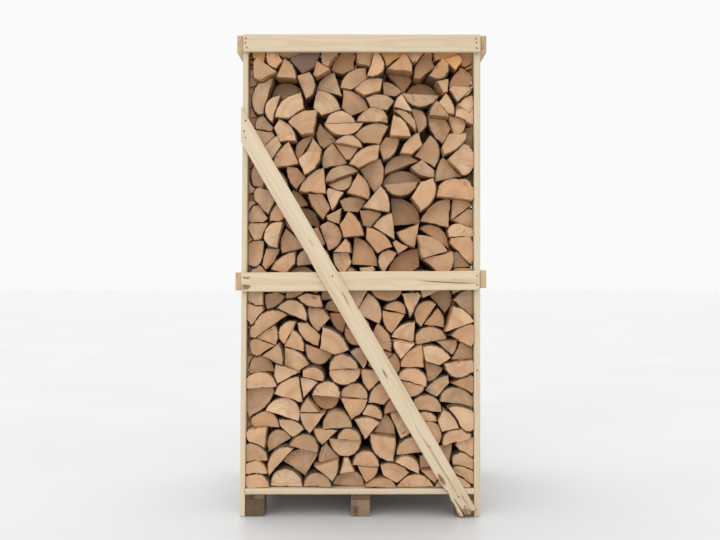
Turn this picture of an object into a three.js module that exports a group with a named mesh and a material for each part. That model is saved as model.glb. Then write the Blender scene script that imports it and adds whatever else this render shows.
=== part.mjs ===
// A crate of stacked firewood: four rows of split logs in an open softwood crate on a block pallet.
// Millimetres, +Z up, front towards -Y. The origin is the middle of the footprint, on the floor.
import * as THREE from "three";

// Driving dimensions.
const HEIGHT = 2015; // floor to the top of the top rails
const DECK_WIDTH = 958; // the deck boards' length, between the uprights
const DEPTH = 1000; // front to back over the uprights
const GAP = 0.3; // clearance that faces in contact keep

const BLOCK = { x: 80, y: 100, z: 71.7 };
const CENTRE_COLUMN = 3; // the middle blocks stand a little off the middle
const BEARER = { x: 80, z: 21.7 };
const DECK = { boards: 6, y: 100, z: 23.7 };
const UPRIGHT = { left: 22, right: 26.5, y: 95 };
const SIDE_RAIL = { x: 25, z: { top: 73, mid: 76 } };
const TOP_RAIL = { x: 987.5, y: 24, z: 73, centre: 9.5 };
const MID_RAIL = { x: 989, y: 24, z: 80, centre: 2 };
const BRACE = { width: 76, y: 20, segments: 24 };
const BRACE_TOP = new THREE.Vector2(-494, 1641); // middle of the brace's upright top cut, in X and Z
const BRACE_FOOT = new THREE.Vector2(454, 14.5); // middle of its bottom cut
const FOOT_SKEW = Math.tan(THREE.MathUtils.degToRad(10)); // the bottom cut is a little off square

const MID_RAIL_HEIGHT = { end: 987, left: 986, right: 995 }; // middles of the end and side middle rails
const MID_RAIL_SLOPE = THREE.MathUtils.degToRad(0.46); // nailed on a little out of level
const LEFT_LEAN = THREE.MathUtils.degToRad(0.43); // the left side frame leans in at the top

const LOG_ROWS = 4;
const STACK_TOP = 1975;
const STACK_REACH = 498; // from the middle to the tips of the front and back rows

const bearerBase = BLOCK.z + GAP;
const deckBase = bearerBase + BEARER.z + GAP;
const stackBase = deckBase + DECK.z + GAP;
const uprightInner = DECK_WIDTH / 2 + GAP;
// A leaning frame is set out so that it clears the ends of the deck boards.
const leanOffset = stackBase * Math.tan(LEFT_LEAN);

const pale = new THREE.MeshStandardMaterial({ color: 0xdfcba6, roughness: 0.75, metalness: 0 });
const weathered = new THREE.MeshStandardMaterial({ color: 0x857059, roughness: 0.9, metalness: 0 });
const firewood = new THREE.MeshStandardMaterial({ color: 0xc9a57c, roughness: 0.85, metalness: 0 });

const crate = new THREE.Group();

function board(name, material, size, at, parent = crate) {
  const mesh = new THREE.Mesh(new THREE.BoxGeometry(...size), material);
  mesh.name = name;
  mesh.position.set(...at);
  parent.add(mesh);
  return mesh;
}

// Nine blocks, three bearers from front to back on them, and deck boards across the bearers.
function addPallet() {
  const columnStep = (DECK_WIDTH - BLOCK.x) / 2;
  const columns = { left: -columnStep, centre: CENTRE_COLUMN, right: columnStep };
  const lines = { front: -1, middle: 0, back: 1 };
  const lineStep = (DEPTH - BLOCK.y) / 2 - 5; // the blocks stand back a little from the deck's edge
  for (const [column, x] of Object.entries(columns)) {
    for (const [line, way] of Object.entries(lines)) {
      const size = [BLOCK.x, BLOCK.y, BLOCK.z];
      board(`block_${line}_${column}`, weathered, size, [x, way * lineStep, BLOCK.z / 2]);
    }
    const size = [BEARER.x, DEPTH - 6, BEARER.z];
    board(`bearer_${column}`, weathered, size, [x, 0, bearerBase + BEARER.z / 2]);
  }
  const deckStep = (DEPTH - DECK.y) / (DECK.boards - 1);
  for (let i = 0; i < DECK.boards; i++) {
    const y = -(DEPTH - DECK.y) / 2 + i * deckStep;
    board(`deck_board_${i + 1}`, pale, [DECK_WIDTH, DECK.y, DECK.z], [0, y, deckBase + DECK.z / 2]);
  }
}

// A side frame is three uprights with a top and a middle rail nailed on outside them.
// It is built upright around x = 0, which is its inner face, and outwards is towards `side`.
function sideFrame(label, side) {
  const frame = new THREE.Group();
  const lines = { front: -1, middle: 0, back: 1 };
  const uprightStep = (DEPTH - UPRIGHT.y) / 2;
  const uprightHeight = HEIGHT - 2;
  for (const [line, way] of Object.entries(lines)) {
    const size = [UPRIGHT[label], UPRIGHT.y, uprightHeight];
    const at = [(side * UPRIGHT[label]) / 2, way * uprightStep, uprightHeight / 2 + 1];
    board(`upright_${label}_${line}`, pale, size, at, frame);
  }
  const railX = side * (UPRIGHT[label] + GAP + SIDE_RAIL.x / 2);
  const heights = { top: HEIGHT - SIDE_RAIL.z.top / 2, mid: MID_RAIL_HEIGHT[label] };
  for (const [level, z] of Object.entries(heights)) {
    board(`side_rail_${label}_${level}`, pale, [SIDE_RAIL.x, DEPTH, SIDE_RAIL.z[level]], [railX, 0, z], frame);
  }
  crate.add(frame);
  return frame;
}

function addSideFrames() {
  const left = sideFrame("left", -1);
  left.position.x = -uprightInner - leanOffset;
  left.rotation.y = LEFT_LEAN;
  sideFrame("right", 1).position.x = uprightInner;
}

// Rails across the front and the back, nailed to the uprights' edges.
function addEndRails() {
  for (const [label, way] of Object.entries({ front: -1, back: 1 })) {
    const y = way * (DEPTH / 2 + GAP + TOP_RAIL.y / 2);
    const top = [TOP_RAIL.x, TOP_RAIL.y, TOP_RAIL.z];
    board(`rail_${label}_top`, pale, top, [TOP_RAIL.centre, y, HEIGHT - TOP_RAIL.z / 2]);
    const mid = [MID_RAIL.x, MID_RAIL.y, MID_RAIL.z];
    board(`rail_${label}_mid`, pale, mid, [MID_RAIL.centre, y, MID_RAIL_HEIGHT.end]).rotation.y = -MID_RAIL_SLOPE;
  }
}

// A thin board from the top of one upright to the foot of the other. It is nailed to both
// uprights and bows out over the middle rail. Its top is cut upright.
function braceGeometry() {
  const along = BRACE_FOOT.clone().sub(BRACE_TOP);
  const length = along.length();
  along.normalize();
  const across = new THREE.Vector2(along.y, -along.x);
  const crossing = (BRACE_TOP.y - MID_RAIL_HEIGHT.end) / (BRACE_TOP.y - BRACE_FOOT.y);
  const rise = MID_RAIL.y + 2 * GAP + 0.4;
  const bow = (s) => {
    const share = s < crossing ? 1 - s / crossing : (s - crossing) / (1 - crossing);
    return rise * Math.cos((Math.PI / 2) * share);
  };
  const geometry = new THREE.BoxGeometry(BRACE.width, BRACE.y, 1, 1, 1, BRACE.segments);
  const points = geometry.getAttribute("position");
  for (let i = 0; i < points.count; i++) {
    const u = points.getX(i);
    const s = points.getZ(i) + 0.5;
    const start = (-u * across.x) / along.x; // where this long edge meets the upright cut
    const end = length - u * FOOT_SKEW;
    const t = start + (end - start) * s;
    const x = BRACE_TOP.x + u * across.x + t * along.x;
    const z = BRACE_TOP.y + u * across.y + t * along.y;
    const y = points.getY(i) - DEPTH / 2 - GAP - BRACE.y / 2 - bow(s);
    points.setXYZ(i, x, y, z);
  }
  return geometry;
}

function addBraces() {
  const geometry = braceGeometry();
  const front = new THREE.Mesh(geometry, pale);
  front.name = "brace_front";
  const back = new THREE.Mesh(geometry, pale);
  back.name = "brace_back";
  back.rotation.z = Math.PI;
  crate.add(front, back);
}

// Each row is a wall of split logs lying front to back, as one solid that reaches their tips.
// Its left face follows the leaning uprights.
function addLogRows() {
  const wallGap = 1.5;
  const leftAt = (z) => -uprightInner - leanOffset + z * Math.tan(LEFT_LEAN) + wallGap;
  const right = uprightInner - wallGap;
  const outline = new THREE.Shape([
    new THREE.Vector2(leftAt(stackBase), stackBase),
    new THREE.Vector2(right, stackBase),
    new THREE.Vector2(right, STACK_TOP),
    new THREE.Vector2(leftAt(STACK_TOP), STACK_TOP),
  ]);
  const pitch = (2 * STACK_REACH) / LOG_ROWS;
  const geometry = new THREE.ExtrudeGeometry(outline, { depth: pitch - GAP, bevelEnabled: false });
  geometry.rotateX(Math.PI / 2); // the extrusion now runs towards the front
  for (let i = 0; i < LOG_ROWS; i++) {
    const row = new THREE.Mesh(geometry, firewood);
    row.name = `log_row_${i + 1}`;
    row.position.y = -STACK_REACH + (i + 1) * pitch - GAP / 2;
    crate.add(row);
  }
}

addPallet();
addSideFrames();
addEndRails();
addBraces();
addLogRows();

// The lean moves the footprint's middle sideways, and the origin goes back to that middle.
crate.updateMatrixWorld(true);
crate.position.x = -new THREE.Box3().setFromObject(crate, true).getCenter(new THREE.Vector3()).x;

export default crate;
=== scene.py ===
"""The looks of a crate of stacked firewood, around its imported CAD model. Metres, +Z up, front towards -Y.

The crate's boards are remade as sawn timber on the CAD boards' own axes. Each CAD log row becomes a wall of
separate split logs: cross-sections are cut from round trunks and laid one by one where they fit the pile
best, as somebody stacking firewood would lay them, and each is lofted from front to back.
"""

import math
from collections import namedtuple

import bpy
import numpy as np
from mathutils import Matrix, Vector


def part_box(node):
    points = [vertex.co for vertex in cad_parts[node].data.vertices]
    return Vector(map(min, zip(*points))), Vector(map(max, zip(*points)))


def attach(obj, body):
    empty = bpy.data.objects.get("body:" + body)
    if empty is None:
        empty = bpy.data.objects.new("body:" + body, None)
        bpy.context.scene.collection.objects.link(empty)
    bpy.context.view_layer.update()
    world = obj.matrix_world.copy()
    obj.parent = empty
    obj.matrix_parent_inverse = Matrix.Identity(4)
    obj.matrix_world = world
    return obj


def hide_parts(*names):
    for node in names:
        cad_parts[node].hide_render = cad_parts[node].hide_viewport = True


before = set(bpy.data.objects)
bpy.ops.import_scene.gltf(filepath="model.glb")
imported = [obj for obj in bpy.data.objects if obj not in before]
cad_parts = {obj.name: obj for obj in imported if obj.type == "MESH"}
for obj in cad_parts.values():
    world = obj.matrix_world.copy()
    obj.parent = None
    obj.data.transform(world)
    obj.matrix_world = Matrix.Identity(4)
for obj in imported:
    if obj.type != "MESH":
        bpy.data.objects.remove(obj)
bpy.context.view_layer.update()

SEED = 20
BODY = "root"
SHARP_ANGLE = 0.7  # radians between faces that meet in a sharp edge

# The log pile.
OUTER_ROWS = (1, 4)
COLUMN = 0.003  # width of the columns that the pile's surface is kept in
SLOTS = ((5, 80), (12, 45))  # half widths, in columns, of slots to avoid, and what a square metre costs
LOGS_OF_A_KIND, CHIPS_OF_A_KIND = 95, 16  # how many there are to draw from for each row
LOG_SCALE, CHIP_SCALE = 0.79, 0.52
DRAWN, CHIPS_DRAWN, FINALISTS = 80, 60, 14  # logs or chips tried at a time, and the best to look at closely
JOINT = 0.0013  # what neighbouring logs leave between them
SWELL = 0.0014  # about the most that a cross-section grows into the gaps round it
WALL_SWELL = 0.018  # the same beside the uprights, under the top rail and in the inner rows
NEAR_WALL, NEAR_TOP = 0.06, 0.05  # where a log counts as beside an upright or under the top rail
BELLY = 0.0032  # what a log's body stands out past its outline, where it presses on its neighbours
BELLY_START = 0.05  # how far from its ends the belly is full
RIM_DEPTH = 0.0016  # how far along a log the worn rim of its end reaches
BARK_THICKNESS = 0.0038
LOG_LENGTH = (0.232, 0.246)
BIN = 0.004  # width of the bins in which the pile's sides are searched for gaps
LEAST_GAP = 0.0025  # the narrowest gap that a splinter fills
SPLINTER_OVERLAP = 0.0018  # how far it goes on past the middles of its first and last bins

# How finely a row is made: the distance between an outline's points, the rings along a log's body, and the
# logs in a piece.
OUTER_DETAIL, INNER_DETAIL = (0.0085, 5, 8), (0.02, 2, 24)

# Each kind of log: its share at the bottom of the pile, and at the top.
LOG_KINDS = {
    "half": (0.36, 0.10),
    "wedge": (0.48, 0.80),
    "truncated": (0.03, 0.05),
    "slab": (0.12, 0.04),
    "inner": (0.01, 0.01),
}


def box_of(name):
    """The low and the high corner of a CAD node's box."""
    low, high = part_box(name)
    return np.array(low), np.array(high)


def corners_of(name):
    """Every corner of a CAD node's solid."""
    return np.array([v.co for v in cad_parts[name].data.vertices])


# Fields and meshes.


def ripple(rng, points, scale, waves=7):
    """A smooth random field, mostly from -1 to 1, whose features are about `scale` wide along each axis."""
    pull = rng.normal(size=(waves, points.shape[1])) * 2.2 / np.asarray(scale)
    return np.sin(points @ pull.T + rng.uniform(0, 2 * math.pi, waves)).sum(1) / math.sqrt(waves)


class Soup:
    """Vertices, faces, material numbers and attributes that become one mesh."""

    def __init__(self):
        self.points, self.faces, self.kinds = [], [], []
        self.vectors, self.colours = [], []
        self.count = 0

    def add(self, points, faces, kinds, vectors, colours):
        """Adds faces over new points, with each face's kind and each point's attributes."""
        self.points.append(points)
        self.faces.extend(tuple(i + self.count for i in face) for face in faces)
        self.kinds.extend(kinds)
        self.vectors.append(vectors)
        self.colours.append(colours)
        self.count += len(points)

    def piece(self, name, materials, slot, replaced):
        """Makes the mesh as a piece of the part, in place of the CAD nodes that are replaced."""
        mesh = bpy.data.meshes.new(name)
        mesh.from_pydata(np.concatenate(self.points).tolist(), [], self.faces)
        mesh.polygons.foreach_set("material_index", self.kinds)
        mesh.polygons.foreach_set("use_smooth", [True] * len(self.faces))
        grain = mesh.attributes.new("grain", "FLOAT_VECTOR", "POINT")
        grain.data.foreach_set("vector", np.concatenate(self.vectors).astype(np.float32).ravel())
        tint = mesh.attributes.new("tint", "FLOAT_COLOR", "POINT")
        tint.data.foreach_set("color", np.concatenate(self.colours).astype(np.float32).ravel())
        for material in materials:
            mesh.materials.append(material)
        mesh.update()
        mesh.set_sharp_from_angle(angle=SHARP_ANGLE)
        made = bpy.data.objects.new(name, mesh)
        bpy.context.scene.collection.objects.link(made)
        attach(made, BODY)
        if replaced:
            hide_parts(*replaced)


def tube(rings, around):
    """Faces that join ring after ring, each of `around` points, and then the two that close the ends.

    It also gives the pair of rings and the side that each joining face is on.
    """
    faces, places = [], []
    for k in range(rings - 1):
        for i in range(around):
            j = (i + 1) % around
            faces.append((k * around + i, (k + 1) * around + i, (k + 1) * around + j, k * around + j))
            places.append((k, i))
    last = (rings - 1) * around
    faces += [tuple(range(around)), tuple(range(last + around - 1, last - 1, -1))]
    return faces, places


# Log cross-sections.


def heading(angle):
    """The direction that an angle points in."""
    return np.array([math.cos(angle), math.sin(angle)])


def clipped(points, bark, normal, offset):
    """What is left of a convex outline where point . normal <= offset. bark[i] is about the side after i."""
    beyond = points @ normal - offset
    kept, marks = [], []
    for i in range(len(points)):
        j = (i + 1) % len(points)
        crossing = points[i] + (points[j] - points[i]) * beyond[i] / (beyond[i] - beyond[j] or 1)
        if beyond[i] <= 0:
            kept.append(points[i])
            marks.append(bark[i])
            if beyond[j] > 0:
                kept.append(crossing)
                marks.append(False)
        elif beyond[j] <= 0:
            kept.append(crossing)
            marks.append(bark[i])
    return np.array(kept), marks


def cuts_for(rng, kind):
    """The trunk's radius and the cuts that make one log of it, each by its outward heading and offset."""
    if kind == "half":
        cuts = [(math.pi, rng.uniform(-0.012, 0.012))]
        if rng.random() < 0.3:
            cuts.append((rng.uniform(1.2, 1.9), rng.uniform(0.035, 0.06)))
        return rng.uniform(0.066, 0.09), cuts
    if kind == "wedge":
        spread = math.radians(rng.choice([rng.uniform(22, 32), rng.uniform(30, 46)])) + math.pi / 2
        return rng.uniform(0.105, 0.145), [(way * spread, rng.uniform(-0.003, 0.006)) for way in (1, -1)]
    if kind == "truncated":
        radius = rng.uniform(0.12, 0.16)
        spread = math.radians(rng.uniform(24, 38)) + math.pi / 2
        tip = (math.pi + rng.uniform(-0.35, 0.35), -rng.uniform(0.25, 0.5) * radius)
        return radius, [(spread, 0.004), (-spread, 0.004), tip]
    if kind == "slab":
        radius = rng.uniform(0.085, 0.12)
        return radius, [(math.pi, -radius * rng.uniform(0.3, 0.5))]
    cuts = [(math.pi, 0.0), (rng.uniform(-0.4, 0.4), rng.uniform(0.07, 0.09))]
    cuts += [(side * math.radians(rng.uniform(105, 130)), 0.01) for side in (-1, 1)]
    return 0.15, cuts


def cross_section(rng, kind):
    """A log's outline around its trunk's pith, and which of its sides are bark."""
    radius, cuts = cuts_for(rng, kind)
    angles = np.linspace(0, 2 * math.pi, 72, endpoint=False)
    oval = 0.045 * np.sin(2 * angles + rng.uniform(0, 6))
    lobed = 0.02 * np.sin(3 * angles + rng.uniform(0, 6))
    girth = radius * (1 + oval + lobed)
    points = np.stack([girth * np.cos(angles), girth * np.sin(angles)], 1)
    bark = [True] * len(angles)
    for angle, offset in cuts:
        points, bark = clipped(points, bark, heading(angle), offset)
    apart = np.hypot(*(np.roll(points, -1, 0) - points).T) > 0.0015
    return points[apart], np.array(bark)[apart]


def turned(points, angle):
    """Points turned about the origin."""
    c, s = math.cos(angle), math.sin(angle)
    return points @ np.array([[c, s], [-s, c]])


def area_of(points):
    """The area inside an outline."""
    x, z = points.T
    return 0.5 * abs(x @ np.roll(z, -1) - z @ np.roll(x, -1))


def profiles(points):
    """The lowest and the highest that an outline reaches in each column, with its leftmost point at 0."""
    x, z = (points - points.min(0)).T
    columns = max(3, math.ceil(x.max() / COLUMN))
    edges = np.linspace(0, x.max(), columns + 1)
    left, right, count = int(x.argmin()), int(x.argmax()), len(x)
    below = [(left + i) % count for i in range((right - left) % count + 1)]
    above = [(right + i) % count for i in range((left - right) % count + 1)][::-1]
    under, over = np.interp(edges, x[below], z[below]), np.interp(edges, x[above], z[above])
    return np.minimum(under[1:], under[:-1]), np.maximum(over[1:], over[:-1])


def log_library(rng, each, scale):
    """Logs of every kind, each turned as it will lie: on a flat side more often than not."""
    library = []
    for kind in LOG_KINDS:
        for _ in range(each):
            points, bark = cross_section(rng, kind)
            points = points * scale * rng.uniform(0.9, 1.1)
            if rng.random() < 0.65:
                sides = np.roll(points, -1, 0) - points
                share = np.hypot(*sides.T) * ~bark
                i = rng.choice(len(points), p=share / share.sum())
                angle = rng.normal(0, 0.2) - math.atan2(sides[i, 1], sides[i, 0])
                if rng.random() < 0.2:
                    angle += math.pi
            else:
                angle = rng.uniform(0, 2 * math.pi)
            points = turned(points, angle)
            low = points.min(0)
            under, over = profiles(points)
            tall = max(0.0, np.ptp(points[:, 1]) / np.ptp(points[:, 0]) - 1.05)
            library.append({
                "kind": kind, "points": points - low, "bark": bark, "pith": -low,
                "under": under, "over": over, "area": area_of(points), "tall": tall,
            })
    return library


# Stacking.


def slots_in(surface, reach, blocked):
    """The area of slots in the surface, and at the walls, that are under 2 * reach columns wide."""
    window = np.lib.stride_tricks.sliding_window_view
    open_part = surface[blocked:]
    high = open_part.max() + 1
    raised = window(np.pad(open_part, reach, constant_values=high), 2 * reach + 1).max(1)
    closed = window(np.pad(raised, reach, constant_values=high), 2 * reach + 1).min(1)
    return (closed - open_part).sum() * COLUMN


def best_place(surface, log, lean, base, top, lowest):
    """Where a log fits the surface best: its score, first column and height, or None if it fits nowhere.

    A low score is a good one: a small gap under the log, a low place, a large log and one that isn't on edge.
    """
    window = np.lib.stride_tricks.sliding_window_view(surface, len(log["under"]))
    height = (window - log["under"]).max(1) + JOINT
    gap = (height[:, None] + log["under"] - window).sum(1) * COLUMN
    peak = height + log["over"].max()
    clear_of_wall = np.arange(len(height)) * COLUMN >= lean * (peak - base)
    middle = height + 0.35 * log["over"].max()
    score = gap / log["area"] + 5.5 * (middle - lowest) - 2.0 * math.sqrt(log["area"]) + 0.5 * log["tall"]
    score = np.where(clear_of_wall & (peak < top), score, np.inf)
    at = int(score.argmin())
    return (score[at], at, height[at]) if np.isfinite(score[at]) else None


def stack(rng, library, chips, left, right, base, top, lean):
    """Lays logs until the pile reaches its top, and then chips, and returns them where they lie."""
    surface = np.full(int((right - left) / COLUMN), base)
    free, laid, refused = list(range(len(library))), [], 0
    while refused < 6 and surface.min() < top - 0.03:
        done = (surface.mean() - base) / (top - base)
        share = np.array([np.interp(done, (0, 1), LOG_KINDS[library[i]["kind"]]) for i in free])
        drawn = rng.choice(free, size=min(DRAWN, len(free)), replace=False, p=share / share.sum())
        tries = [library[i] for i in drawn]
        if refused:
            tries = [chips[i] for i in rng.choice(len(chips), size=CHIPS_DRAWN, replace=False)]
        blocked = math.ceil(lean * (surface.min() - base) / COLUMN)
        lowest = surface[blocked:].min()
        found = []
        for log in tries:
            place = best_place(surface, log, lean, base, top, lowest)
            if place:
                found.append((*place, log))
        if not found:
            refused += 1
            continue
        best = None
        for score, at, height, log in sorted(found, key=lambda f: f[0])[:FINALISTS]:
            after = surface.copy()
            after[at:at + len(log["over"])] = height + log["over"]
            total = score
            for reach, cost in SLOTS:
                total += cost * slots_in(after, reach, blocked)
            if best is None or total < best[0]:
                best = (total, at, height, log, after)
        _, at, height, log, surface = best
        shift = np.array([left + at * COLUMN, height])
        laid.append({**log, "points": log["points"] + shift, "pith": log["pith"] + shift})
        free = [i for i in free if library[i] is not log]
    return laid


def divided(points, bark, spacing):
    """Divides the outline's long sides."""
    made, marks = [], []
    for here, after, mark in zip(points, np.roll(points, -1, 0), bark):
        parts = max(1, round(np.hypot(*(after - here)) / spacing))
        made.extend(here + (after - here) * j / parts for j in range(parts))
        marks.extend([mark] * parts)
    return np.array(made), np.array(marks)


def rounded(points, bark, corner=0.0018):
    """Takes the outline's sharp corners off."""
    made, marks = [], []
    for i, here in enumerate(points):
        came, goes = here - points[i - 1], points[(i + 1) % len(points)] - here
        in_length, out_length = np.hypot(*came), np.hypot(*goes)
        if came @ goes < 0.9 * in_length * out_length:
            made.append(here - came * min(corner / in_length, 0.4))
            marks.append(bark[i - 1] and bark[i])
            here = here + goes * min(corner / out_length, 0.4)
        made.append(here)
        marks.append(bark[i])
    return np.array(made), np.array(marks)


def outward(points):
    """How far each point moves for every side to move out by 1: square to the sides, longer at corners."""
    side = np.roll(points, -1, 0) - points
    after = np.stack([side[:, 1], -side[:, 0]], 1) / np.maximum(np.hypot(*side.T), 1e-9)[:, None]
    before = np.roll(after, 1, 0)
    return (before + after) / np.maximum(1 + (before * after).sum(1), 0.3)[:, None]


def smoothed(values, times):
    """Values round a closed outline, averaged with their neighbours so many times."""
    for _ in range(times):
        values = (np.roll(values, 1) + 2 * values + np.roll(values, -1)) / 4
    return values


def tighten(rng, logs, left, right, base, top, lean, swell):
    """Swells every outline into the gaps round it, halfway to its neighbours, less the joint."""
    samples = np.concatenate([log["points"] for log in logs])
    owner = np.concatenate([np.full(len(log["points"]), i) for i, log in enumerate(logs)])
    swollen = []
    for i, log in enumerate(logs):
        points, normal = log["points"], outward(log["points"])
        aside = (points[:, 0] - points.mean(0)[0]).clip(-0.06, 0.06)
        uneven = top - rng.uniform(0, 0.015) + rng.normal(0, 0.1) * aside
        near = np.all((samples > points.min(0) - 0.03) & (samples < points.max(0) + 0.03), 1)
        to_here = points[:, None] - samples[near & (owner != i)][None]
        facing = (to_here * normal[:, None]).sum(2)
        halfway = (to_here ** 2).sum(2) / np.maximum(-2 * facing, 1e-9)
        room = np.where(facing < -1e-6, halfway, np.inf).min(1, initial=np.inf) - JOINT / 2
        wall = points[:, 0] - left - lean * (points[:, 1] - base)
        sides = [(wall, -normal[:, 0]), (right - points[:, 0], normal[:, 0]),
                 (points[:, 1] - base, -normal[:, 1]), (uneven - points[:, 1], normal[:, 1])]
        for distance, pull in sides:
            room = np.where(pull > 0.05, np.minimum(room, distance / np.maximum(pull, 0.05)), room)
        beside = (wall < NEAR_WALL) | (right - points[:, 0] < NEAR_WALL) | (points[:, 1] > top - NEAR_TOP)
        most = np.where(beside, WALL_SWELL, swell * rng.uniform(0.4, 1.3))
        on_top = (points[:, 1] > top - 0.09) & (normal[:, 1] > 0.3)
        most = np.where(on_top & (swell == WALL_SWELL), SWELL, most)
        grow = np.minimum(room, most)
        grow = np.minimum(grow, smoothed(grow, 3) + 0.0004)
        swollen.append(points + normal * grow[:, None])
    for log, points in zip(logs, swollen):
        log["points"] = points


def edge_of(logs, axis, way, start, end):
    """How far the pile reaches towards one side, in narrow bins along the other axis."""
    bins = int((end - start) / BIN)
    reach = np.full(bins, -np.inf)
    for log in logs:
        points = log["points"]
        for t in np.linspace(0, 1, 6)[:-1]:
            between = points + (np.roll(points, -1, 0) - points) * t
            at = ((between[:, 1 - axis] - start) / BIN).astype(int).clip(0, bins - 1)
            np.maximum.at(reach, at, way * between[:, axis])
    return start + BIN * (np.arange(bins) + 0.5), reach


def splinters(rng, logs, axis, way, start, end, limit, deepest):
    """Split sticks that fill what the pile leaves open along one side, where its face is at limit(place).

    Each fills a run of open bins. Sticks of one gap meet at a slant.
    """
    places, reach = edge_of(logs, axis, way, start, end)
    outer = way * limit(places) - 0.0008
    gap = (outer - reach).clip(0, deepest)
    made, run, longest, slant = [], [], 16, 0.0
    for k in range(len(places) + 1):
        is_open = k < len(places) and gap[k] > LEAST_GAP
        if is_open and len(run) < longest:
            run.append(k)
            continue
        if run:
            run = run * 2 if len(run) == 1 else run  # so that it has two ends
            inner = outer[run] - (gap[run] - 0.002).clip(0.0015)
            spots = places[run]
            spots[0], spots[-1] = spots[0] - SPLINTER_OVERLAP, spots[-1] + SPLINTER_OVERLAP
            ahead = gap[k:k + 6]
            goes_on = len(run) > 5 and len(ahead) == 6 and ahead.min() > LEAST_GAP
            next_slant = rng.uniform(-0.011, 0.011) if goes_on else 0.0
            there = np.stack([way * outer[run], spots + np.linspace(slant, next_slant, len(run))], 1)
            back = np.stack([way * inner, spots], 1)[::-1]
            slant = next_slant
            outline = np.concatenate([there, back])
            if axis == 1:
                outline = outline[:, ::-1]
            x, z = outline.T
            if x @ np.roll(z, -1) - z @ np.roll(x, -1) < 0:
                outline = outline[::-1]
            bark = np.zeros(len(outline), bool)
            made.append({"kind": "splinter", "points": outline, "bark": bark, "pith": outline.mean(0) + 0.1})
        run, longest = [k] if is_open else [], rng.integers(7, 24)
    return made


def wall_lean(name):
    """How far to the right the left side of a CAD log row goes for each metre up."""
    corners = corners_of(name)
    low, high = corners.min(0), corners.max(0)
    return (corners[corners[:, 2] > high[2] - 1e-4, 0].min() - low[0]) / (high[2] - low[2])


def row_of_logs(rng, row, spacing):
    """The logs of one row, by their outlines, from the bottom up."""
    low, high = box_of(f"log_row_{row}")
    lean = wall_lean(f"log_row_{row}")
    library = log_library(rng, LOGS_OF_A_KIND, LOG_SCALE)
    chips = log_library(rng, CHIPS_OF_A_KIND, CHIP_SCALE)
    logs = stack(rng, library, chips, low[0], high[0], low[2] + 0.0005, high[2], lean)
    for log in logs:
        log["points"], log["bark"] = divided(log["points"], log["bark"], spacing)
    swell = SWELL if row in OUTER_ROWS else WALL_SWELL
    tighten(rng, logs, low[0], high[0], low[2], high[2], lean, swell)
    for log in logs:
        log["points"], log["bark"] = rounded(log["points"], log["bark"])
    if row in OUTER_ROWS:
        walls = ((-1, lambda z: low[0] + lean * (z - low[2])), (1, lambda z: high[0] + 0 * z))
        extra = splinters(rng, logs, 1, 1, low[0], high[0], lambda x: high[2] + 0 * x, 0.09)
        for way, wall in walls:
            extra += splinters(rng, logs + extra, 0, way, low[2] + 0.003, high[2], wall, 0.06)
        logs += extra
    return logs


# Log bodies.


END, SPLIT, BARK = 0, 1, 2


def log_body(rng, log, near, far, steps, low, high, lean):
    """A log lofted from its near end, where it has its outline, to its far end, both given along Y.

    It stays between low and high, the corners of its row, and right of the leaning wall. Where it touches a
    side it stays on it.
    """
    points, bark = log["points"], log["bark"]
    count, centre = len(points), points.mean(0)
    move = outward(points)
    normal = move / np.maximum(np.hypot(*move.T), 1e-9)[:, None]
    around = np.concatenate([[0], np.cumsum(np.hypot(*(points[1:] - points[:-1]).T))])
    length, way = abs(far - near), math.copysign(1, far - near)
    touches_bark = bark | np.roll(bark, 1)
    rim = np.where(touches_bark, BARK_THICKNESS * rng.uniform(0.7, 1.3), 0.0022)
    middle = np.linspace(0.014, length - 0.014, steps)
    along = np.concatenate([[0, 0, RIM_DEPTH], middle, [length - RIM_DEPTH, length, length]])
    inset = [rim, np.full(count, 0.0009)] + [np.zeros(count)] * (steps + 2) + [np.full(count, 0.0009), rim]
    on_left = points[:, 0] < low[0] + lean * (points[:, 1] - low[2]) + 0.002
    on_right = points[:, 0] > high[0] - 0.002
    tilts = rng.normal(0, 0.03, (2, 2))
    twist, taper, drift = rng.normal(0, 0.012), rng.uniform(0, 0.03), rng.normal(0, 0.0012, 2)
    places, vectors = [], []
    flat = np.stack([np.tile(around, len(along)), np.repeat(along, count)], 1)
    wave = ripple(rng, flat, (0.026, 0.16))
    plates = ripple(rng, flat, (0.014, 0.03))
    relief = np.where(np.tile(touches_bark, len(along)), 0.0013 * (1 + plates), 0.0014 * (1 + wave))
    relief = relief.clip(0, 0.005).reshape(len(along), count)
    for k, y in enumerate(along):
        belly = BELLY * min(1, y / BELLY_START, (length - y) / BELLY_START)
        section = points + normal * (belly - inset[k] - relief[k])[:, None]
        t = y / length
        spun = turned(section - centre, twist * t) * (1 - taper * t) + centre + drift * t
        spun[:, 1] = spun[:, 1].clip(low[2] + 0.0004, high[2])
        left = low[0] + lean * (spun[:, 1] - low[2])
        spun[:, 0] = np.where(on_left, left, np.where(on_right, high[0], spun[:, 0].clip(left, high[0])))
        slope = (section - centre) @ (tilts[0] * max(0, 1 - 5 * t) + tilts[1] * max(0, 5 * t - 4))
        depth = near + way * (y + slope)
        places.append(np.stack([spun[:, 0], depth, spun[:, 1]], 1))
        from_pith = section - log["pith"]
        vectors.append(np.stack([from_pith[:, 0], np.full(count, y), from_pith[:, 1]], 1))
    faces, spots = tube(len(along), count)
    ends = {0, 1, len(along) - 3, len(along) - 2}
    kinds = [BARK if bark[i] else END if k in ends else SPLIT for k, i in spots] + [END, END]
    if way < 0:
        faces = [face[::-1] for face in faces]
    return np.concatenate(places), faces, kinds, np.concatenate(vectors)


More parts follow.
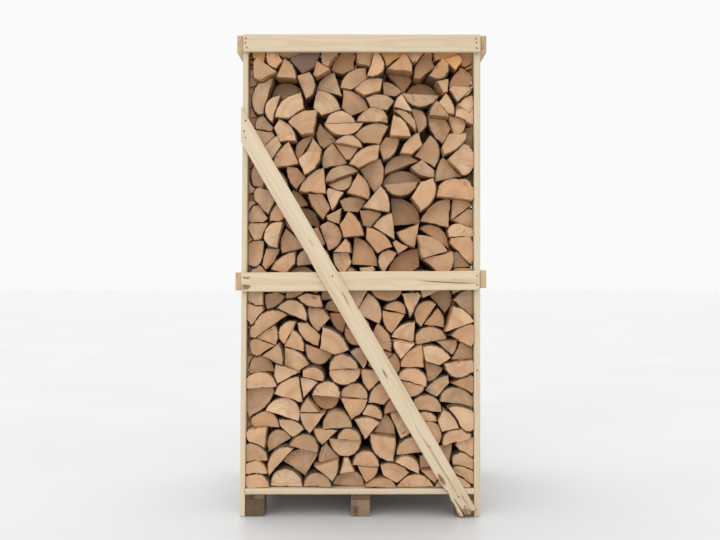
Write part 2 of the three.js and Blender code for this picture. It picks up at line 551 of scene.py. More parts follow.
def behind_a_board(log, row):
    """Whether a log of an outer row lies behind a rail or the brace, where it can't stand out of the pile."""
    side = "front" if row == 1 else "back"
    low, high = log["points"].min(0), log["points"].max(0)
    for rail in (f"rail_{side}_mid", f"rail_{side}_top"):
        rail_low, rail_high = box_of(rail)
        if high[1] > rail_low[2] - 0.01 and low[1] < rail_high[2] + 0.01:
            return True
    top, foot = brace_ends(f"brace_{side}")
    along = (foot - top)[[0, 2]] / np.linalg.norm((foot - top)[[0, 2]])
    away = log["points"] - top[[0, 2]]
    across = away[:, 0] * along[1] - away[:, 1] * along[0]
    return across.min() < 0.05 and across.max() > -0.05


def tint_of(rng, log, top):
    """A log's own colour: warmth, lightness, grime and a seed for its patterns."""
    across, height = log["points"].mean(0)
    under_cover = np.clip((height - (top - 0.16)) / 0.1, 0, 1) * np.interp(across, (0.0, 0.25), (0.35, 1))
    warmth = min(rng.normal(0.4, 0.22), 0.8) + 0.8 * under_cover * rng.uniform(0.6, 1)
    lightness = rng.normal(0.58, 0.17)
    grime = rng.uniform(0, 0.5) if rng.random() < 0.8 else rng.uniform(0.5, 1)
    return np.array([np.clip(warmth, 0, 1), np.clip(lightness, 0, 1), 0.9 * grime, rng.uniform(0, 1)])


def add_log_row(rng, row, materials):
    """One row of logs, as meshes of a few neighbouring logs each."""
    outer = row in OUTER_ROWS
    low, high = box_of(f"log_row_{row}")
    lean = wall_lean(f"log_row_{row}")
    spacing, steps, per_piece = OUTER_DETAIL if outer else INNER_DETAIL
    logs = row_of_logs(rng, row, spacing)
    logs.sort(key=lambda log: log["points"][:, 1].mean())
    face, back = (low[1], high[1]) if row < 3 else (high[1], low[1])
    inwards = math.copysign(1, back - face)
    for start in range(0, len(logs), per_piece):
        soup = Soup()
        for log in logs[start:start + per_piece]:
            middle = log["points"].mean(0)
            done = (middle[1] - low[2]) / (high[2] - low[2])
            recess = abs(rng.normal(0, 0.02 + 0.045 * done)) + 0.001
            stands_out = rng.random() < 0.16
            if min(middle[0] - low[0], high[0] - middle[0]) < 0.1:
                recess = min(recess, rng.uniform(0.04, 0.07))
            if log["kind"] == "splinter":
                recess, stands_out = rng.uniform(0.045, 0.08), False
            if outer and stands_out and not behind_a_board(log, row):
                recess = -rng.uniform(0.002, 0.014)
            tint = tint_of(rng, log, high[2])
            if row == 1 and middle[1] < low[2] + 0.06 and abs(middle[0] - 0.012) < 0.05:
                recess, tint[0] = -0.015, 0.72  # the log that stands out over the deck
            if row == 1 and np.hypot(*(middle - (-0.235, high[2] - 0.11))) < 0.05:
                recess, tint[2] = 0.002, 1.0  # the log with a grey-purple end
            length = min(rng.uniform(*LOG_LENGTH), abs(back - face) - recess - 0.0005)
            near = face + inwards * recess
            if rng.random() < 0.1:
                log["bark"] = np.zeros_like(log["bark"])
            far = near + inwards * length
            points, faces, kinds, vectors = log_body(rng, log, near, far, steps, low, high, lean)
            soup.add(points, faces, kinds, vectors, np.tile(tint, (len(points), 1)))
        name = f"logs_row{row}_course{start // per_piece + 1:02d}"
        soup.piece(name, materials, "split_log", [f"log_row_{row}"])


# Boards.


SIDE_GRAIN, END_GRAIN = 0, 1
BOARD_CORNER = 0.0022  # the most that is worn off a board's long corners
BOARD_STEP, FACE_STEP = 0.02, 0.009  # between a board's rings, and between the points of one
CHIP_DEPTH = 0.003
RAGGED_REACH, GRIME_REACH = 0.03, 0.07  # how far from a board's ends the splinters and the dirt go

# In a board's +v face: its place across, its start and end along, its depth and half width, and how far it
# drifts and wanders sideways.
Crack = namedtuple("Crack", "at start end deep wide drift wander")

# Along an edge, on the side -1 or 1: its start, end and depth.
Wane = namedtuple("Wane", "side start end deep")


def axes_of(name):
    """A box-shaped CAD node's middle, and its long, wide and thin axes with its size along each."""
    corners = np.unique(corners_of(name).round(5), axis=0)
    edges = sorted((corner - corners[0] for corner in corners[1:]), key=np.linalg.norm)
    thin = edges[0]
    wide = next(e for e in edges if abs(e @ thin) < 1e-5)
    long = next(e for e in edges if abs(e @ thin) < 1e-5 and abs(e @ wide) < 1e-5)
    sizes = [np.linalg.norm(e) for e in (long, wide, thin)]
    long, wide = (e / np.linalg.norm(e) * math.copysign(1, e[np.abs(e).argmax()]) for e in (long, wide))
    return corners.mean(0), (long, wide, np.cross(long, wide)), sizes


def section_of(width, thick, corner, cracks):
    """A board's cross-section, clockwise seen along it, and which of its points are corners."""
    def row(start, end):
        count = max(2, round(abs(end - start) / FACE_STEP))
        return list(np.linspace(start, end, count + 1))

    u, v = width / 2 - corner, thick / 2 - corner
    blunt = corner * 0.7
    across = row(u, -u)
    for crack in cracks:
        spots = [crack.at + offset * crack.wide for offset in (-1, -0.35, 0, 0.35, 1)]
        across = [x for x in across if abs(x - crack.at) > 1.5 * crack.wide] + spots
    loop = [(x, thick / 2, False) for x in sorted(across, reverse=True)] + [(-u - blunt, v + blunt, True)]
    loop += [(-width / 2, y, False) for y in row(v, -v)] + [(-u - blunt, -v - blunt, True)]
    loop += [(x, -thick / 2, False) for x in row(-u, u)] + [(u + blunt, -v - blunt, True)]
    loop += [(width / 2, y, False) for y in row(-v, v)] + [(u + blunt, v + blunt, True)]
    return np.array([p[:2] for p in loop[::-1]]), np.array([p[2] for p in loop[::-1]])


def open_crack(shape, section, crack, s, sizes):
    """Pulls a board's shape at s apart and down where a crack runs."""
    length, width, thick = sizes
    t = (s - crack.start) / (crack.end - crack.start)
    fade = min(1, 4 * t, max(4 * (1 - t), float(crack.end >= length)))
    wander = crack.wander * (math.sin(13 * s + crack.at * 300) + 0.5 * math.sin(41 * s))
    away = np.abs(section[:, 0] - crack.at)
    to_edge = width / 2 - np.sign(section[:, 0] - crack.at) * crack.at
    shape[:, 0] += (wander + crack.drift * t) * (1 - away / to_edge).clip(0, 1)
    in_crack = (section[:, 1] > thick / 2 - 1e-6) & (away < 0.5 * crack.wide)
    shape[in_crack, 1] -= crack.deep * fade * (1 - away[in_crack] / crack.wide)


def tear_edge(shape, section, wane, s, sizes):
    """Takes the edge off a board's shape at s where it is torn away, deepest at the face."""
    reach = wane.deep * math.sin(math.pi * (s - wane.start) / (wane.end - wane.start)) ** 0.6
    reach *= 0.75 + 0.25 * math.sin(90 * s)
    share = np.where(section[:, 1] > -sizes[2] / 4, 1.0, 0.6)
    kept = wane.side * sizes[1] / 2 - wane.side * reach * share
    shape[:, 0] = wane.side * np.minimum(wane.side * shape[:, 0], wane.side * kept)


def board(rng, node, place, sizes, materials, slot, wear=0.5, tone=None, ragged=(0, 0), cracks=(), wanes=(),
          smudges=()):
    """Sawn timber in the place of a CAD node: place(s, u, v) maps along, across and through to the world.

    wear is how chipped and dirty it is, tone how light, and ragged how far each end is splintered. A smudge
    is its place along and across, and its half length and half width.
    """
    length, width, thick = sizes
    corner = min(BOARD_CORNER, thick / 6) * rng.uniform(0.8, 1.2)
    section, is_corner = section_of(width, thick, corner, cracks)
    count = len(section)
    normal = outward(section)
    normal = -normal / np.maximum(np.hypot(*normal.T), 1e-9)[:, None]
    steps = max(3, round(length / BOARD_STEP))
    inner = np.linspace(0.008, length - 0.008, steps)
    along = np.concatenate([[0, 0, 0.0012], inner, [length - 0.0012, length, length]])
    inset = np.zeros(len(along))
    inset[[0, -1]], inset[[1, -2]] = 0.0035, 0.0008
    flat = np.stack([np.repeat(along, count), *np.tile(section, (len(along), 1)).T], 1)
    fine = ripple(rng, flat, (0.12, 0.008, 0.008)).reshape(-1, count)
    broad = ripple(rng, flat[:, :1], (0.35,)).reshape(-1, count)
    chips = (ripple(rng, flat, (0.05, 0.3, 0.3)) - 0.75).clip(0, 1).reshape(-1, count) * is_corner
    places, vectors, colours = [], [], []
    pith = np.array([rng.uniform(-0.4, 0.4) * width, -rng.uniform(0.6, 2.2) * thick - 0.02])
    seed, warmth, lightness = rng.uniform(0, 1), rng.uniform(0.2, 0.8), rng.uniform(0.3, 0.8)
    lightness = lightness if tone is None else tone
    ends = [ragged[0] * rng.random(count) ** 2, ragged[1] * rng.random(count) ** 2]
    for k, s in enumerate(along):
        push = inset[k] + 0.00022 * (1 + fine[k]).clip(0) + CHIP_DEPTH * wear * chips[k]
        shape = section - normal * push[:, None]
        for flaws, change in ((cracks, open_crack), (wanes, tear_edge)):
            for flaw in flaws:
                if flaw.start <= s <= flaw.end:
                    change(shape, section, flaw, s, sizes)
        shape[:, 0] += 0.0006 * broad[k, 0]
        start_share, end_share = max(0, 1 - s / RAGGED_REACH), max(0, 1 - (length - s) / RAGGED_REACH)
        lengthwise = s + ends[0] * start_share - ends[1] * end_share
        places.append(place(lengthwise, shape[:, 0], shape[:, 1]))
        vectors.append(np.stack([shape[:, 0] - pith[0], lengthwise, shape[:, 1] - pith[1]], 1))
        grime = 0.25 + 0.5 * wear * max(0, 1 - min(s, length - s) / GRIME_REACH) + 0.15 * is_corner
        for at, aside, half_long, half_wide in smudges:
            near = ((s - at) / half_long) ** 2 + ((section[:, 0] - aside) / half_wide) ** 2
            grime = grime + 1.2 * np.exp(-near) * (section[:, 1] > -thick / 4)
        parts = (warmth, lightness, grime, seed)
        colours.append(np.stack([np.broadcast_to(part, count) for part in parts], 1))
    faces, spots = tube(len(along), count)
    kinds = [END_GRAIN if k in (0, len(along) - 2) else SIDE_GRAIN for k, _ in spots] + [END_GRAIN, END_GRAIN]
    soup = Soup()
    soup.add(np.concatenate(places), faces, kinds, np.concatenate(vectors), np.concatenate(colours))
    soup.piece(f"{node}_timber", materials, slot, [node])


def straight_board(rng, node, materials, slot, **detail):
    """Timber in the place of a box-shaped CAD node."""
    middle, (long, wide, thin), sizes = axes_of(node)
    start = middle - long * sizes[0] / 2

    def place(s, u, v):
        return start + np.outer(s, long) + np.outer(u, wide) + np.outer(v, thin)

    board(rng, node, place, sizes, materials, slot, **detail)


def brace_ends(node):
    """The middles of a brace's upright top cut and of its foot, on the CAD solid."""
    corners = corners_of(node)
    mirror = -1 if node.endswith("back") else 1
    outwards = mirror * corners[:, 0]
    top = corners[outwards < outwards.min() + 1e-4]
    reach = outwards * 0.51 - corners[:, 2] * 0.86
    foot = corners[reach > reach.max() - 0.03]
    return np.unique(top.round(5), axis=0).mean(0), np.unique(foot.round(5), axis=0).mean(0)


def brace(rng, node, materials):
    """The thin diagonal board, nailed to both uprights and bowed out over the middle rail."""
    width, thick = 0.076, 0.020
    side, outwards = ("back", 1) if node.endswith("back") else ("front", -1)
    top, foot = brace_ends(node)
    rail_low, rail_high = box_of(f"rail_{side}_mid")
    rise = rail_high[1] - rail_low[1] + 0.001
    slope = (foot - top)[[0, 2]]
    length = np.hypot(*slope)
    along = slope / length
    across = np.array([outwards * along[1], -outwards * along[0]])
    crossing = (top[2] - (rail_low[2] + rail_high[2]) / 2) / (top[2] - foot[2])
    skew = math.tan(math.radians(10))  # the foot's cut is a little off square

    def place(s, u, v):
        start = -u * across[0] / along[0]
        end = length + u * skew
        s = start + (end - start) * s / length
        t = s / length
        share = np.where(t < crossing, 1 - t / crossing, (t - crossing) / (1 - crossing))
        bow = rise * np.cos(math.pi / 2 * share.clip(0, 1))
        x = top[0] + along[0] * s + across[0] * u
        z = top[2] + along[1] * s + across[1] * u
        return np.stack([x, top[1] + outwards * (bow + v), z], 1)

    cracks = [
        Crack(-0.004, 1.42, 1.86, deep=0.006, wide=0.004, drift=0.006, wander=0.0015),
        Crack(-0.021, 1.80, length, deep=0.013, wide=0.003, drift=0.003, wander=0.0005),
        Crack(0.012, 1.795, 1.845, deep=0.008, wide=0.0025, drift=0.002, wander=0.0),
        Crack(0.026, 1.1, 1.5, deep=0.0025, wide=0.0022, drift=-0.006, wander=0.001),
        Crack(-0.027, 0.62, 0.86, deep=0.002, wide=0.0018, drift=0.004, wander=0.001),
    ]
    wanes = [Wane(-1, 1.69, 1.86, 0.014), Wane(1, 0.85, 0.97, 0.004), Wane(-1, 0.5, 0.62, 0.004)]
    smudges = [
        (0.577, 0.006, 0.05, 0.009), (0.855, 0.008, 0.05, 0.008), (1.195, -0.004, 0.035, 0.006),
        (1.555, 0.0, 0.016, 0.009), (1.70, -0.026, 0.045, 0.012), (length, -0.012, 0.035, 0.03),
        (length - 0.06, 0.028, 0.03, 0.008),
    ]
    sizes = (length, width, thick)
    board(rng, node, place, sizes, materials, "spruce_board", wear=1.0, ragged=(0.001, 0.012), cracks=cracks,
          wanes=wanes, smudges=smudges)


# Nails.


NAIL_PROFILE = ((0.0034, -0.0012), (0.0034, 0.0004), (0.0028, 0.0009), (0.0012, 0.0011))  # radius, height


def add_nail(soup, rng, at, out):
    """A flat nail head, a little domed and a little askew."""
    out = np.array(out, float) + rng.normal(0, 0.06, 3)
    out /= np.linalg.norm(out)
    side = np.cross(out, (0.3, 0.5, 0.8))
    side /= np.linalg.norm(side)
    up = np.cross(out, side)
    angles = np.linspace(0, 2 * math.pi, 12, endpoint=False)
    circle = np.outer(np.cos(angles), side) + np.outer(np.sin(angles), up)
    points = np.concatenate([at + radius * circle + out * height for radius, height in NAIL_PROFILE])
    faces = [face[::-1] for face in tube(len(NAIL_PROFILE), len(angles))[0]]
    tint = np.tile([0.5, 0.5, 0.5, rng.random()], (len(points), 1))
    soup.add(points, faces, [0] * len(faces), points - at, tint)


def upright_at(name, height):
    """The middle of an upright at a height."""
    middle, (long, _, _), _ = axes_of(name)
    return middle + long * (height - middle[2]) / long[2]


def add_end_nails(soup, rng, side, way):
    """The nails of the front's or the back's rails and brace."""
    for level, rises in (("top", (-0.022, 0.0, 0.02)), ("mid", (-0.016, 0.019))):
        low, high = box_of(f"rail_{side}_{level}")
        face = low[1] if way < 0 else high[1]
        for hand in ("left", "right"):
            z = (low[2] + high[2]) / 2 + (0.004 if hand == "right" else -0.004) * (level == "mid")
            for rise in rises:
                inset = 0.003 if hand == "left" else -0.004
                x = upright_at(f"upright_{hand}_{side}", z)[0] + inset + rng.normal(0, 0.002)
                add_nail(soup, rng, np.array([x, face, z + rise + rng.normal(0, 0.002)]), (0, way, 0))
    top, foot = brace_ends(f"brace_{side}")
    start_hand, foot_hand = ("left", "right") if way < 0 else ("right", "left")
    run = (foot - top) / (top[2] - foot[2])
    upright_x = upright_at(f"upright_{start_hand}_{side}", top[2])[0]
    for drop, aside in ((0.035, -0.004), (0.079, 0.002), (0.106, -0.004)):
        spot = np.array([upright_x + way * aside, top[1] + way * 0.0122, top[2] + 0.05 - drop])
        add_nail(soup, rng, spot, (0, way, 0))
    rail_low, rail_high = box_of(f"rail_{side}_mid")
    crossing = top + run * (top[2] - (rail_low[2] + rail_high[2]) / 2)
    face = (rail_low[1] if way < 0 else rail_high[1]) + way * 0.0213
    add_nail(soup, rng, np.array([crossing[0] - way * 0.0013, face, crossing[2] + 0.021]), (0, way, 0))
    stray = upright_at(f"upright_{foot_hand}_{side}", 0.613)
    add_nail(soup, rng, np.array([stray[0], top[1] - way * 0.0098, 0.613]), (0, way, 0))
    for back_up, aside in ((0.035, 0.006), (0.075, 0.002)):
        spot = foot - run * back_up + np.array([aside, 0, 0])
        spot[1] = foot[1] + way * 0.0122
        add_nail(soup, rng, spot, (0, way, 0))


def add_side_nails(soup, rng, name, hand, way):
    """The nails of one side rail, two into each upright."""
    middle, _, sizes = axes_of(name)
    for line in ("front", "middle", "back"):
        y = upright_at(f"upright_{hand}_{line}", middle[2])[1]
        for dy, dz in ((-0.016, 0.017), (0.018, -0.016)):
            spot = middle + np.array([way * (sizes[2] / 2 + 0.0001), 0, 0])
            spot = spot + np.array([0.0075 * dz, 0, dz + rng.normal(0, 0.002)])
            spot[1] = y + dy + rng.normal(0, 0.003)
            add_nail(soup, rng, spot, (way, 0, 0))


def add_nails(rng, material):
    """Every nail head, as one mesh."""
    soup = Soup()
    for side, way in (("front", -1), ("back", 1)):
        add_end_nails(soup, rng, side, way)
    for hand, way in (("left", -1), ("right", 1)):
        for level in ("top", "mid"):
            add_side_nails(soup, rng, f"side_rail_{hand}_{level}", hand, way)
    soup.piece("nail_heads", [material], "nail_head", None)


# Materials.


class Shader:
    """A short way to wire one material's nodes."""

    def __init__(self, name, **plain):
        self.material = bpy.data.materials.new(name)
        self.material.use_nodes = True
        self.tree = self.material.node_tree
        self.surface = self.tree.nodes["Principled BSDF"]
        for socket, value in plain.items():
            self.surface.inputs[socket.replace("_", " ")].default_value = value

    def node(self, kind, inputs=(), **settings):
        node = self.tree.nodes.new(kind)
        for key, value in settings.items():
            setattr(node, key, value)
        for key, value in dict(inputs).items():
            self.join(value, node.inputs[key])
        return node

    def join(self, value, socket):
        if isinstance(value, bpy.types.NodeSocket):
            self.tree.links.new(value, socket)
        else:
            socket.default_value = value

    def sum(self, operation, a, b=0.0, c=0.0):
        return self.node("ShaderNodeMath", {0: a, 1: b, 2: c}, operation=operation).outputs[0]

    def times(self, a, b):
        return self.sum("MULTIPLY", a, b)

    def xyz(self, *parts):
        return self.node("ShaderNodeCombineXYZ", dict(enumerate(parts))).outputs[0]

    def stretched(self, vector, x, y, z):
        inputs = {0: vector, 1: (x, y, z)}
        return self.node("ShaderNodeVectorMath", inputs, operation="MULTIPLY").outputs[0]

    def noise(self, vector, scale, detail=2.0, roughness=0.5):
        inputs = {"Vector": vector, "Scale": scale, "Detail": detail, "Roughness": roughness}
        return self.node("ShaderNodeTexNoise", inputs).outputs["Fac"]

    def cells(self, vector, scale, feature="F1"):
        inputs = {"Vector": vector, "Scale": scale}
        return self.node("ShaderNodeTexVoronoi", inputs, feature=feature).outputs

    def steps(self, value, low, high, to_low=0.0, to_high=1.0):
        inputs = {0: value, 1: low, 2: high, 3: to_low, 4: to_high}
        return self.node("ShaderNodeMapRange", inputs, interpolation_type="SMOOTHSTEP").outputs[0]

    def mix(self, share, a, b, blend="MIX"):
        node = self.node("ShaderNodeMix", {0: share, 6: a, 7: b}, data_type="RGBA", blend_type=blend)
        return node.outputs[2]

    def patch(self, colour, other, value, low, high, most=1.0):
        """The colour, with up to so much of another where a value goes from low to high."""
        return self.mix(self.steps(value, low, high, 0.0, most), colour, other)

    def fade(self, colour, other, value, low, high, most=1.0):
        """The same where the value goes from high to low."""
        return self.mix(self.steps(value, low, high, most, 0.0), colour, other)

    def lit(self, colour, value, darkest, lightest):
        """The colour times a lightness that follows a value from 0 to 1."""
        light = self.steps(value, 0.0, 1.0, darkest, lightest)
        shade = self.node("ShaderNodeCombineColor", {0: light, 1: light, 2: light}).outputs[0]
        return self.mix(1.0, colour, shade, "MULTIPLY")

    def grain(self):
        """The point in the log's or board's own frame, the same moved by its seed, its tint, and the seed."""
        vector = self.node("ShaderNodeAttribute", attribute_name="grain").outputs["Vector"]
        tint = self.node("ShaderNodeAttribute", attribute_name="tint")
        parts = self.node("ShaderNodeSeparateColor", {0: tint.outputs["Color"]}).outputs
        seed = self.times(tint.outputs["Alpha"], 40.0)
        inputs = {0: vector, 1: self.xyz(seed, seed, seed)}
        return vector, self.node("ShaderNodeVectorMath", inputs, operation="ADD").outputs[0], parts, seed

    def rings(self, vector, own, spacing, wobble):
        """Growth rings as a wave from 0 to 1, the distance from the pith, and the angle round it."""
        x, _, z = self.node("ShaderNodeSeparateXYZ", {0: vector}).outputs
        length = self.node("ShaderNodeVectorMath", {0: self.xyz(x, 0.0, z)}, operation="LENGTH")
        bend = self.sum("SUBTRACT", self.noise(self.stretched(own, 1, 0.25, 1), 9.0, 3.0), 0.5)
        far = self.sum("ADD", length.outputs["Value"], self.times(bend, wobble))
        wave = self.sum("SINE", self.times(far, 2 * math.pi / spacing))
        return self.sum("MULTIPLY_ADD", wave, 0.5, 0.5), far, self.sum("ARCTAN2", z, x)

    def bump(self, height, strength, distance):
        inputs = {"Height": height, "Strength": strength, "Distance": distance}
        self.join(self.node("ShaderNodeBump", inputs).outputs[0], self.surface.inputs["Normal"])

    def finish(self, colour, roughness):
        self.join(colour, self.surface.inputs["Base Color"])
        self.join(roughness, self.surface.inputs["Roughness"])
        return self.material


def rgb(red, green, blue):
    """A colour as seen, from 0 to 255, as the linear values that a shader takes."""
    def linear(c):
        c /= 255
        return c / 12.92 if c <= 0.04045 else ((c + 0.055) / 1.055) ** 2.4

    return (*(linear(c) for c in (red, green, blue)), 1.0)


def log_end_material():
    """A sawn log end: rings, rays, a pith dot and saw marks, on a colour of the log's own."""
    m = Shader("split_log_end", Specular_IOR_Level=0.25)
    vector, own, tint, seed = m.grain()
    wave, far, angle = m.rings(vector, own, 0.0031, 0.010)
    colour = m.mix(tint[0], rgb(206, 176, 142), rgb(182, 136, 95))
    colour = m.patch(colour, rgb(212, 158, 94), tint[0], 0.84, 1.0, 0.85)
    blotch = m.noise(own, 16.0, 3.0)
    colour = m.patch(colour, rgb(176, 134, 106), blotch, 0.35, 0.75, 0.6)
    zones = m.noise(m.xyz(m.times(far, 34.0), seed), 1.0, 1.0)
    colour = m.patch(colour, rgb(156, 116, 84), zones, 0.45, 0.7, 0.32)
    worn = m.steps(m.noise(own, 22.0, 1.0), 0.35, 0.7, 0.08, 0.34)
    colour = m.mix(m.times(m.steps(wave, 0.55, 0.95), worn), colour, rgb(150, 102, 66))
    spokes = m.xyz(m.times(angle, 9.0), m.times(far, 9.0), seed)
    colour = m.patch(colour, rgb(158, 112, 76), m.noise(spokes, 1.0, 3.0, 0.75), 0.58, 0.75, 0.3)
    spoke = m.sum("ABSOLUTE", m.sum("SUBTRACT", m.noise(spokes, 0.42, 1.0), 0.5))
    crack = m.times(m.steps(spoke, 0.0, 0.012, 1.0, 0.0), m.steps(tint[2], 0.35, 0.8))
    colour = m.mix(m.times(crack, 0.7), colour, rgb(92, 60, 40))
    colour = m.fade(colour, rgb(98, 60, 38), far, 0.0015, 0.0045, 0.75)
    mark = m.times(m.steps(m.noise(own, 21.0, 3.0, 0.6), 0.69, 0.74), m.steps(tint[2], 0.2, 0.4))
    colour = m.mix(m.times(mark, 0.7), colour, rgb(96, 62, 48))
    dirt = m.times(m.steps(m.noise(own, 7.0, 4.0, 0.6), 0.48, 0.75), tint[2])
    colour = m.mix(m.times(dirt, 0.55), colour, rgb(126, 98, 80))
    colour = m.patch(colour, rgb(104, 84, 80), tint[2], 0.92, 0.96, 0.9)
    colour = m.lit(colour, tint[1], 0.78, 1.2)
    saw = m.noise(m.stretched(own, 90, 1, 900), 1.0, 2.0)
    height = m.sum("ADD", m.times(saw, 0.5), m.times(wave, 0.25))
    m.bump(m.sum("SUBTRACT", height, crack), 0.35, 0.0012)
    return m.finish(colour, m.steps(blotch, 0.3, 0.8, 0.72, 0.9))


def log_split_material():
    """A cleft face: fibres that run along the log, torn strips and a little of the rings' stripes."""
    m = Shader("split_log_side", Specular_IOR_Level=0.2)
    vector, own, tint, _ = m.grain()
    wave, _, _ = m.rings(vector, own, 0.006, 0.022)
    fibre = m.noise(m.stretched(own, 160, 7, 160), 1.0, 4.0, 0.65)
    strips = m.noise(m.stretched(own, 36, 2.2, 36), 1.0, 3.0, 0.55)
    colour = m.mix(tint[0], rgb(204, 170, 130), rgb(186, 138, 92))
    colour = m.patch(colour, rgb(168, 122, 82), strips, 0.35, 0.7, 0.65)
    colour = m.patch(colour, rgb(160, 112, 74), fibre, 0.42, 0.75, 0.55)
    colour = m.patch(colour, rgb(150, 100, 62), wave, 0.6, 0.95, 0.2)
    stain = m.times(m.steps(m.noise(own, 6.0, 4.0), 0.5, 0.72), tint[2])
    colour = m.mix(m.times(stain, 0.5), colour, rgb(122, 90, 66))
    colour = m.lit(colour, tint[1], 0.72, 1.05)
    m.bump(m.sum("ADD", m.times(fibre, 0.5), strips), 0.8, 0.003)
    return m.finish(colour, 0.86)


def bark_material():
    """Thin grey-brown bark in small plates."""
    m = Shader("log_bark", Specular_IOR_Level=0.2)
    _, own, tint, _ = m.grain()
    edge = m.cells(m.stretched(own, 1, 0.45, 1), 75.0, "DISTANCE_TO_EDGE")[0]
    patch = m.noise(own, 11.0, 4.0, 0.6)
    crumbs = m.noise(own, 120.0, 3.0, 0.6)
    colour = m.mix(tint[1], rgb(92, 72, 56), rgb(140, 118, 96))
    colour = m.patch(colour, rgb(112, 90, 70), patch, 0.4, 0.7)
    colour = m.patch(colour, rgb(164, 150, 130), patch, 0.6, 0.78, 0.6)
    colour = m.fade(colour, rgb(42, 30, 24), edge, 0.0, 0.09, 0.7)
    colour = m.patch(colour, rgb(60, 44, 34), crumbs, 0.4, 0.75, 0.35)
    m.bump(m.sum("ADD", m.steps(edge, 0.0, 0.16), m.times(crumbs, 0.5)), 0.8, 0.003)
    return m.finish(colour, 0.92)


def timber_material(name, pale, dark, dirt, dirt_from, end=False, shades=(0.9, 1.04)):
    """Sawn softwood: long grain, a few knots, dirt towards the ends, and bruises where it is smudged."""
    m = Shader(name, Specular_IOR_Level=0.25)
    vector, own, tint, _ = m.grain()
    wave, _, _ = m.rings(vector, own, 0.0062, 0.022)
    fibre = m.noise(m.stretched(own, 150, 5, 150), 1.0, 4.0, 0.6)
    streak = m.noise(m.stretched(own, 30, 1.4, 30), 1.0, 3.0, 0.5)
    colour = m.mix(tint[0], pale, m.mix(0.35, pale, dark))
    colour = m.patch(colour, dark, wave, 0.55, 1.0, 0.55 if end else 0.34)
    colour = m.patch(colour, dark, streak, 0.42, 0.72, 0.4)
    colour = m.patch(colour, dark, fibre, 0.45, 0.8, 0.28)
    if not end:
        knots = m.cells(m.stretched(own, 9.5, 3.4, 4.0), 1.0)
        spread = m.sum("ADD", knots["Distance"], m.times(m.noise(own, 60.0, 2.0), 0.03))
        rare = m.node("ShaderNodeSeparateColor", {0: knots["Color"]}).outputs[0]
        has_knot = m.steps(rare, 0.8, 0.82)
        halo = m.times(m.steps(spread, 0.05, 0.24, 0.5, 0.0), has_knot)
        heart = m.times(m.steps(spread, 0.06, 0.085, 0.9, 0.0), has_knot)
        colour = m.mix(halo, colour, rgb(178, 132, 84))
        colour = m.mix(heart, colour, rgb(96, 62, 40))
    dirty = m.noise(m.stretched(own, 1, 0.4, 1), 15.0, 5.0, 0.62)
    exposed = m.steps(tint[2], 0.1, 0.8, 0.25, 1.0)
    colour = m.mix(m.times(m.steps(dirty, dirt_from, dirt_from + 0.22), exposed), colour, dirt)
    torn = m.steps(m.noise(m.stretched(own, 60, 9, 60), 1.0, 3.0), 0.3, 0.62)
    colour = m.mix(m.times(m.steps(tint[2], 0.8, 1.25), torn), colour, rgb(134, 98, 68))
    colour = m.lit(colour, tint[1], *shades)
    m.bump(m.sum("ADD", m.times(fibre, 0.7), m.times(wave, 0.3)), 0.45, 0.0014)
    return m.finish(colour, m.steps(streak, 0.3, 0.8, 0.66, 0.84))


def nail_material():
    """Dull steel with a little rust."""
    m = Shader("nail_steel", Metallic=0.85)
    rust = m.noise(m.grain()[1], 500.0, 3.0)
    colour = m.patch(rgb(104, 98, 92), rgb(92, 62, 44), rust, 0.4, 0.65)
    m.bump(rust, 0.3, 0.0004)
    return m.finish(colour, m.steps(rust, 0.3, 0.7, 0.35, 0.75))


def floor_material():
    """A plain pale floor."""
    m = Shader("studio_floor", Specular_IOR_Level=0.3)
    cloud = m.noise(m.node("ShaderNodeTexCoord").outputs["Object"], 0.7, 4.0)
    return m.finish(m.mix(cloud, rgb(190, 191, 192), rgb(202, 203, 204)), 0.4)


# Stage, light and camera.


def add_stage():
    """The floor and an even white surrounding."""
    bpy.ops.mesh.primitive_plane_add(size=60, location=(0, 12, 0))
    floor = bpy.context.object
    floor.name = "studio_floor"
    floor.data.materials.append(floor_material())
    world = bpy.data.worlds.new("studio")
    bpy.context.scene.world = world
    world.use_nodes = True
    world.node_tree.nodes["Background"].inputs[0].default_value = (1.0, 1.0, 1.0, 1.0)
    world.node_tree.nodes["Background"].inputs[1].default_value = 0.96


def add_light(name, direction, power, spread):
    """A wide, soft lamp that shines along a direction."""
    lamp = bpy.data.lights.new(name, "SUN")
    lamp.energy = power
    lamp.angle = math.radians(spread)
    holder = bpy.data.objects.new(name, lamp)
    holder.rotation_mode = "QUATERNION"
    holder.rotation_quaternion = Vector(direction).to_track_quat("-Z", "Y")
    bpy.context.scene.collection.objects.link(holder)


def add_camera():
    """Level, square to the front, 4 m off and just above half the crate's height."""
    camera = bpy.data.cameras.new("camera")
    camera.lens, camera.sensor_width = 47.9, 36.0
    camera.shift_x, camera.shift_y = -0.0012, -0.0014
    holder = bpy.data.objects.new("camera", camera)
    holder.location = (0.0, -4.51, 1.0376)
    holder.rotation_euler = (math.pi / 2, 0, 0)
    bpy.context.scene.collection.objects.link(holder)
    bpy.context.scene.camera = holder


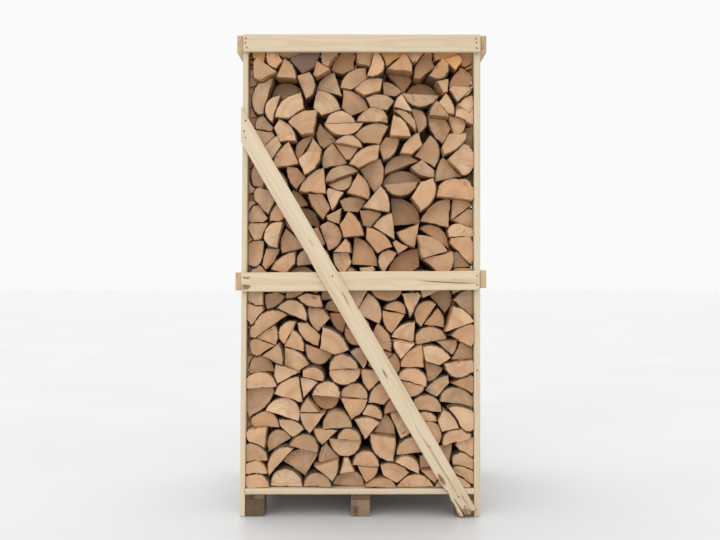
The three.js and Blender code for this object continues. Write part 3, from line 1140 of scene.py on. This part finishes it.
def add_boards(rng):
    """Every board and block, in the order of the nodes' names."""
    pale, dark, dirt = rgb(214, 199, 174), rgb(190, 166, 130), rgb(116, 100, 78)
    spruce = [
        timber_material("spruce_side", pale, dark, dirt, 0.68),
        timber_material("spruce_end", rgb(210, 182, 144), rgb(176, 140, 100), dirt, 0.55, end=True),
    ]
    pale, dark, dirt = rgb(150, 134, 116), rgb(112, 94, 74), rgb(66, 54, 42)
    end_pale, end_dark, end_dirt = rgb(140, 118, 94), rgb(98, 76, 54), rgb(62, 50, 40)
    grey = [
        timber_material("pallet_side", pale, dark, dirt, 0.5, shades=(0.55, 1.2)),
        timber_material("pallet_end", end_pale, end_dark, end_dirt, 0.48, end=True, shades=(0.55, 1.3)),
    ]
    details = {
        "block_front_left": {"tone": 0.16},
        "block_front_centre": {"tone": 1.0},
        "upright_left_front": {"tone": 1.0},
        "rail_front_mid": {
            "tone": 1.0,
            "wear": 0.9,
            "cracks": [Crack(0.001, 0.73, 0.989, deep=0.011, wide=0.003, drift=-0.016, wander=0.0007)],
            "smudges": [(0.9, 0.012, 0.06, 0.006), (0.02, -0.02, 0.02, 0.012), (0.03, 0.018, 0.012, 0.008)],
        },
    }
    for name in sorted(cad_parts):
        detail = details.get(name, {})
        if name.startswith("brace"):
            brace(rng, name, spruce)
        elif name.startswith(("block", "bearer")):
            straight_board(rng, name, grey, "weathered_block", **{"wear": 1.0, **detail})
        elif not name.startswith("log_row"):
            wear = 1.0 if "mid" in name else 0.5
            straight_board(rng, name, spruce, "spruce_board", **{"wear": wear, **detail})


def main():
    """Builds the whole scene from one stream of random numbers."""
    rng = np.random.default_rng(SEED)
    bpy.context.scene.view_settings.view_transform = "Standard"
    add_stage()
    add_camera()
    add_light("key", (0.08, -0.16, -1.0), 1.5, 45)
    add_light("fill", (0.15, 0.9, -0.6), 1.0, 60)
    logs = [log_end_material(), log_split_material(), bark_material()]
    for row in (1, 4, 2, 3):
        add_log_row(rng, row, logs)
    add_boards(rng)
    add_nails(rng, nail_material())


main()
